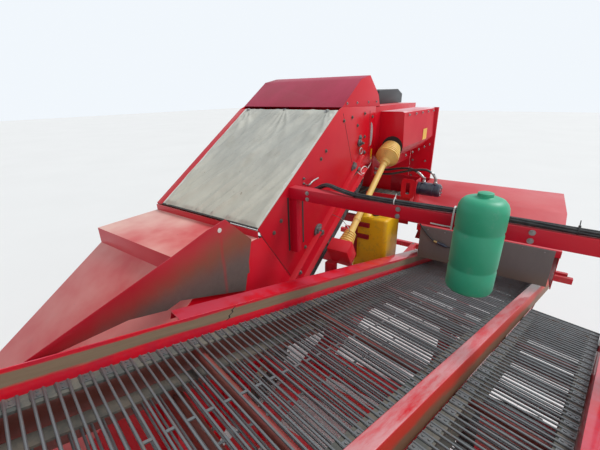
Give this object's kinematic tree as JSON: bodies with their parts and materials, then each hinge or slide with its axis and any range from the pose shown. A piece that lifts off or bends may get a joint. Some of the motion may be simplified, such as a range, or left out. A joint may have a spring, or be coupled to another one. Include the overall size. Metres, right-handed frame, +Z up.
{
  "type": "trailed potato harvester",
  "caption": "Trailed potato harvester: a digging unit with share and discs, a covered side elevator, a skewed picking table, a pickers' platform and a bunker with a hinged flap.",
  "frame": {"origin": "on the ground under the centre of the machine's bounding box", "axes": "+X is the way of travel, towards the hitch eye; +Y is the pickers' side; +Z is up"},
  "size_m": [8.9, 3.44, 3.46],
  "materials": {
    "red_paint": "worn gloss paint",
    "dark_paint": "worn paint",
    "steel": "worn bare steel",
    "rod_steel": "worn rods on rubber belts",
    "tyre": "matt",
    "rim_paint": "gloss paint",
    "belt_rubber": "matt",
    "cover_cloth": "coated cloth",
    "tank_plastic": "satin",
    "canister_plastic": "satin",
    "guard_plastic": "matt",
    "ram_paint": "gloss paint",
    "rod_chrome": "polished",
    "motor_paint": "dusty gloss paint"
  },
  "bodies": {
    "frame": {"main_frame": "red_paint", "axle": "red_paint", "light_bar": "red_paint", "drive_gearbox": "dark_paint", "panel_left": "red_paint", "panel_right": "red_paint", "lower_side_left": "red_paint", "lower_side_right": "red_paint", "front_cover": "red_paint", "cloth_cover": "cover_cloth", "cover_frame": "red_paint", "hood": "red_paint", "elevator_web": "rod_steel", "guide_plate": "red_paint", "rear_frame": "red_paint", "rear_casing": "red_paint", "cross_web": "belt_rubber", "drive_cover": "red_paint", "rear_cowl": "dark_paint", "shaft_guard": "guard_plastic", "low_gearbox": "red_paint", "water_tank": "tank_plastic", "cross_beam": "red_paint", "canister": "canister_plastic", "discharge_housing": "red_paint", "rubber_flap": "belt_rubber", "feed_motor": "motor_paint", "table_frame": "red_paint", "table_divider": "red_paint", "picking_web": "rod_steel", "trash_web": "rod_steel", "platform": "red_paint", "railing": "red_paint", "bunker": "red_paint", "bunker_floor": "belt_rubber"},
    "wheel_left": {"tyre_left": "tyre", "rim_left": "rim_paint"},
    "wheel_right": {"tyre_right": "tyre", "rim_right": "rim_paint"},
    "drawbar": {"drawbar": "red_paint", "hitch_eye": "steel"},
    "stand": {"parking_stand": "red_paint"},
    "digging_unit": {"digging_frame": "red_paint", "share": "steel", "digging_web": "rod_steel"},
    "disc_left": {"disc_left": "steel"},
    "disc_right": {"disc_right": "steel"},
    "ridge_roller": {"ridge_roller": "steel"},
    "lift_barrel": {"lift_barrel": "ram_paint"},
    "lift_rod": {"lift_rod": "rod_chrome"},
    "swing_barrel": {"swing_barrel": "ram_paint"},
    "swing_rod": {"swing_rod": "rod_chrome"},
    "ladder": {"ladder": "red_paint"},
    "bunker_flap": {"bunker_flap": "red_paint"}
  },
  "joints": [
    {"name": "wheel_left_spin", "type": "hinge", "parent": "frame", "child": "wheel_left", "pos_m": [-1.3, 1.15, 0.58], "axis": [0, 1, 0], "continuous": true},
    {"name": "wheel_right_spin", "type": "hinge", "parent": "frame", "child": "wheel_right", "pos_m": [-1.3, -1.3, 0.58], "axis": [0, 1, 0], "continuous": true},
    {"name": "drawbar_swing", "type": "hinge", "parent": "frame", "child": "drawbar", "pos_m": [2.35, 0.13, 0.97], "axis": [0, 0, 1], "range_deg": [-10, 10]},
    {"name": "stand_fold", "type": "hinge", "parent": "drawbar", "child": "stand", "pos_m": [3.6, 0.257, 0.735], "axis": [0, 1, 0], "range_deg": [0, 90]},
    {"name": "digging_lift", "type": "hinge", "parent": "frame", "child": "digging_unit", "pos_m": [1.466, -1.03, 0.685], "axis": [0, -1, 0], "range_deg": [-6.5, 8]},
    {"name": "disc_left_spin", "type": "hinge", "parent": "digging_unit", "child": "disc_left", "pos_m": [2.8, -0.45, 0.48], "axis": [0, 1, 0], "continuous": true},
    {"name": "disc_right_spin", "type": "hinge", "parent": "digging_unit", "child": "disc_right", "pos_m": [2.8, -1.603, 0.48], "axis": [0, 1, 0], "continuous": true},
    {"name": "ridge_roller_spin", "type": "hinge", "parent": "digging_unit", "child": "ridge_roller", "pos_m": [3, -1.0265, 0.65], "axis": [0, 1, 0], "continuous": true},
    {"name": "lift_barrel_swing", "type": "hinge", "parent": "frame", "child": "lift_barrel", "pos_m": [1.5, -1.65, 1.13], "axis": [0, -1, 0], "range_deg": [-6.5, 8]},
    {"name": "lift_rod_slide", "type": "slide", "parent": "lift_barrel", "child": "lift_rod", "axis": [0.8372, 0, -0.5469], "range_m": [-0.08, 0.08]},
    {"name": "steer_barrel_swing", "type": "hinge", "parent": "frame", "child": "swing_barrel", "pos_m": [2.33, -0.33, 0.93], "axis": [0, 0, 1], "range_deg": [-8, 8]},
    {"name": "steer_rod_slide", "type": "slide", "parent": "swing_barrel", "child": "swing_rod", "axis": [0.8916, 0.4529, 0], "range_m": [-0.08, 0.08]},
    {"name": "ladder_fold", "type": "hinge", "parent": "frame", "child": "ladder", "pos_m": [0.65, 1.706, 1.39], "axis": [1, 0, 0], "range_deg": [0, 175]},
    {"name": "flap_open", "type": "hinge", "parent": "frame", "child": "bunker_flap", "pos_m": [2.235, 1.01, 1.75], "axis": [-1, 0, 0], "range_deg": [0, 100]}
  ],
  "couplings": [
    {"joint": "lift_barrel_swing", "follows": "digging_lift", "ratio": 0.7642},
    {"joint": "lift_rod_slide", "follows": "digging_lift", "m_per_rad": -0.39278},
    {"joint": "steer_barrel_swing", "follows": "drawbar_swing", "ratio": 0.6821},
    {"joint": "steer_rod_slide", "follows": "drawbar_swing", "m_per_rad": 0.40036}
  ]
}
